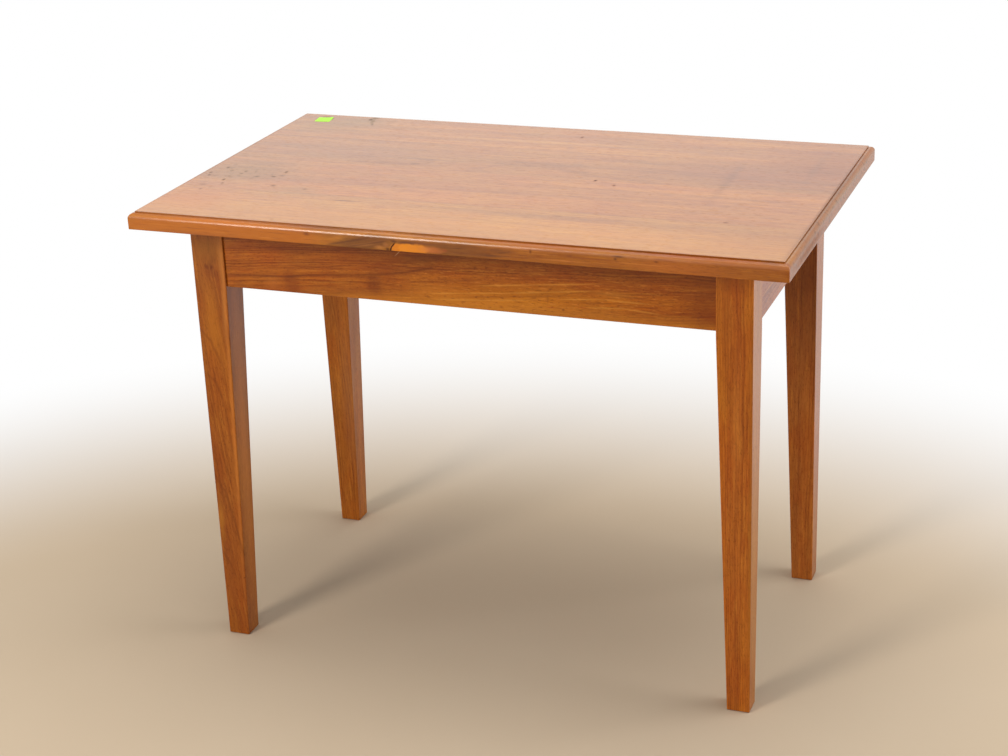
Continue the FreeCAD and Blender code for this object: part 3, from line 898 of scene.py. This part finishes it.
def marked(tree, wood, marks):
    """Adds the marks to the wood's colour, and where they dull the varnish."""
    noise = add(tree, "TexNoise", {"Vector": wood["place"], "Scale": 1 / SHAKE_SIZE, "Detail": 2.0})
    shake = add(tree, "VectorMath", {0: noise.outputs["Color"], 1: NOISE_MIDDLE}, operation="SUBTRACT")
    shaken = add(tree, "VectorMath", {0: shake, 1: (SHAKE, SHAKE, SHAKE), 2: wood["place"]},
                 operation="MULTIPLY_ADD")
    dull_pores = add(tree, "Math", {0: wood["pores"], 1: PORES_DULL}, operation="MULTIPLY")
    dull_ends = add(tree, "Math", {0: wood["ends"], 1: ENDS_DULL}, operation="MULTIPLY")
    wood["dull"] = add(tree, "Math", {0: dull_pores, 1: dull_ends}, operation="MAXIMUM")
    for spot in marks:
        small = min(spot["reach"]) < SHAKE / MM
        inside = oval(tree, wood["place"] if small else shaken, spot["centre"], spot["reach"],
                      spot["turn"], spot["soft"], spot["strength"])
        if spot["specks"]:
            specks = noise_along(tree, wood["place"], spot["specks"], 2.0, SPECKS_SHOWN)
            inside = add(tree, "Math", {0: inside, 1: specks}, operation="MULTIPLY")
        wood["colour"] = add(tree, "Mix", {FACTOR: inside, FIRST: wood["colour"],
                                           SECOND: linear(spot["colour"])}, data_type="RGBA")
        if spot["dull"]:
            dulled = add(tree, "Math", {0: inside, 1: spot["dull"] / spot["strength"]},
                         operation="MULTIPLY")
            wood["dull"] = add(tree, "Math", {0: wood["dull"], 1: dulled}, operation="MAXIMUM")


# Varnished cherry: it gives the eye warm lively grain below a soft, slightly pale shine.
for number, (name, cut) in enumerate(TRUNKS.items()):
    cherry = blank_material("varnished_cherry_" + name)
    wood = cherry_grain(cherry.node_tree, cut, number * SLIDE, KNOTS.get(name, ()))
    marked(cherry.node_tree, wood, [spot for spot in MARKS.get(name, []) if touches(name, spot)])
    dress(name, varnish(cherry, wood, VARNISH_ON_TOP if cut["lying"] else VARNISH_ON_FRAME))
    print(name, "nodes:", len(cherry.node_tree.nodes))

# %% [markdown]
# ## Buttons and screws
#
# Under the top, out of sight, eight small maple buttons hold it to the rails, each with one steel
# wood screw. Maple is pale and nearly plain, with fine brown flecks. The screws are bright zinc
# plate, which is a metal, so it has a colour and a roughness but keeps the shader's own index.

# %% Dress the buttons and the screws
MAPLE_STREAK, MAPLE_FLECK = (60, 1.6), (2.5, 0.5)
BRUSH_MARK = (4.0, 0.25)
MAPLE_ROUGHNESS, MAPLE_IOR = 0.55, 1.5
ZINC_SMOOTH, ZINC_ROUGH = 0.22, 0.42

# Planed maple: it gives the eye pale plain wood, quite matt, because nobody varnished it.
maple = blank_material("planed_maple")
tree = maple.node_tree
place = add(tree, "TexCoord").outputs["Object"]
streaks = noise_along(tree, place, MAPLE_STREAK, 3.0, (0.35, 0.70))
flecks = noise_along(tree, place, MAPLE_FLECK, 1.0, (0.58, 0.74))
colour = add(tree, "Mix", {FACTOR: streaks, FIRST: linear("#E3C79C"), SECOND: linear("#D2AE7C")},
             data_type="RGBA")
colour = add(tree, "Mix", {FACTOR: flecks, FIRST: colour, SECOND: linear("#C39A66")}, data_type="RGBA")
relief = add(tree, "Bump", {"Height": streaks, "Distance": RELIEF, "Strength": RELIEF_STRENGTH})
surface = add(tree, "BsdfPrincipled", {"Base Color": colour, "Roughness": MAPLE_ROUGHNESS,
                                       "IOR": MAPLE_IOR, "Normal": relief})
add(tree, "OutputMaterial", {"Surface": surface})

# Zinc plated steel: it gives the eye a small cool glint, uneven where the threads were rolled.
zinc = blank_material("zinc_plated_steel")
tree = zinc.node_tree
place = add(tree, "TexCoord").outputs["Object"]
brushed = noise_along(tree, place, BRUSH_MARK, 2.0, (0.30, 0.70))
colour = add(tree, "Mix", {FACTOR: brushed, FIRST: linear("#C9CCD0"), SECOND: linear("#A4A8AE")},
             data_type="RGBA")
gloss = add(tree, "MapRange", {"Value": brushed, "To Min": ZINC_SMOOTH, "To Max": ZINC_ROUGH})
surface = add(tree, "BsdfPrincipled", {"Base Color": colour, "Roughness": gloss, "Metallic": 1.0})
add(tree, "OutputMaterial", {"Surface": surface})

for name in nodes:
    if "button" in name:
        dress(name, maple)
    if "screw" in name:
        dress(name, zinc)
print("buttons and screws:", sum("button" in name or "screw" in name for name in nodes))

# %% [markdown]
# ## A paper label
#
# Near the rear left corner lies a small square of bright green paper, a plain price label with
# nothing on it. It is a flat sheet with rounded corners, and one corner has begun to lift. It could
# be a picture on the wood, but a real label throws a thin line of shadow, so it is made as a sheet.
# It starts as one square face. Its corners are bevelled, it is sliced across so that it can bend,
# the far corner is raised along a smooth curve, and the sheet gets its thickness.

# %% Make the label
LABEL_SIDE = 19 * MM
LABEL_PLACE = Vector((-314.5 * MM, 187 * MM, TOP_FACE))
LABEL_TURN = math.radians(6)
LABEL_THICKNESS = 0.14 * MM
CORNER_RADIUS = 1.6 * MM
CORNER_STEPS = 5
LIFT_START, LIFT = 5.0 * MM, 1.1 * MM
LABEL_SLICES = 16

sheet = bmesh.new()
bmesh.ops.create_grid(sheet, x_segments=1, y_segments=1, size=LABEL_SIDE / 2)
bmesh.ops.bevel(sheet, geom=list(sheet.verts), offset=CORNER_RADIUS, offset_type="OFFSET",
                segments=CORNER_STEPS, profile=0.5, affect="VERTICES", material=-1)
towards_corner = Vector((1, 1, 0)).normalized()
half_diagonal = LABEL_SIDE / math.sqrt(2)
for slice_number in range(LABEL_SLICES):
    reach = LIFT_START + (half_diagonal - LIFT_START) * slice_number / LABEL_SLICES
    bmesh.ops.bisect_plane(sheet, geom=sheet.verts[:] + sheet.edges[:] + sheet.faces[:],
                           plane_co=towards_corner * reach, plane_no=towards_corner)
for vertex in sheet.verts:
    beyond = max(0.0, vertex.co.dot(towards_corner) - LIFT_START) / (half_diagonal - LIFT_START)
    vertex.co.z += LIFT * beyond ** 2
bmesh.ops.recalc_face_normals(sheet, faces=sheet.faces)
bmesh.ops.solidify(sheet, geom=sheet.faces[:], thickness=LABEL_THICKNESS)
lowest = min(vertex.co.z for vertex in sheet.verts)
bmesh.ops.rotate(sheet, verts=sheet.verts, matrix=Matrix.Rotation(LABEL_TURN, 3, "Z"))
bmesh.ops.translate(sheet, verts=sheet.verts, vec=LABEL_PLACE - Vector((0, 0, lowest)))
bmesh.ops.recalc_face_normals(sheet, faces=sheet.faces)
label_mesh = bpy.data.meshes.new("paper_label")
sheet.to_mesh(label_mesh)
sheet.free()
label = bpy.data.objects.new("paper_label", label_mesh)
scene.collection.objects.link(label)
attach(label, "root")
print("label faces:", len(label_mesh.polygons))
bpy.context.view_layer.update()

# %% [markdown]
# ## Green paper
#
# Label paper is matt, and it is pressed from short fibres that make it slightly cloudy. The green
# is strong enough to glow beside the wood. Noise a millimetre or two across varies the colour, and
# a finer one roughens the surface.

# %% Colour the label
PAPER_CLOUD = 2.5 * MM
PAPER_FIBRE = 0.4 * MM
PAPER_RELIEF = 0.02 * MM
PAPER_ROUGHNESS, PAPER_GLOSS = 0.65, 0.25

# Dyed label paper: it gives the eye one bright matt patch that the satin wood doesn't have.
paper = blank_material("dyed_label_paper")
tree = paper.node_tree
place = add(tree, "TexCoord").outputs["Object"]
cloud = add(tree, "TexNoise", {"Vector": place, "Scale": 1 / PAPER_CLOUD, "Detail": 3.0})
fibre = add(tree, "TexNoise", {"Vector": place, "Scale": 1 / PAPER_FIBRE, "Detail": 2.0})
colour = add(tree, "Mix", {FACTOR: cloud, FIRST: linear("#9BDB46"), SECOND: linear("#A9E653")},
             data_type="RGBA")
relief = add(tree, "Bump", {"Height": fibre, "Distance": PAPER_RELIEF, "Strength": RELIEF_STRENGTH})
surface = add(tree, "BsdfPrincipled", {"Base Color": colour, "Roughness": PAPER_ROUGHNESS,
                                       "Specular IOR Level": PAPER_GLOSS, "Normal": relief})
add(tree, "OutputMaterial", {"Surface": surface})
label_mesh.materials.append(paper)
print("label nodes:", len(tree.nodes))
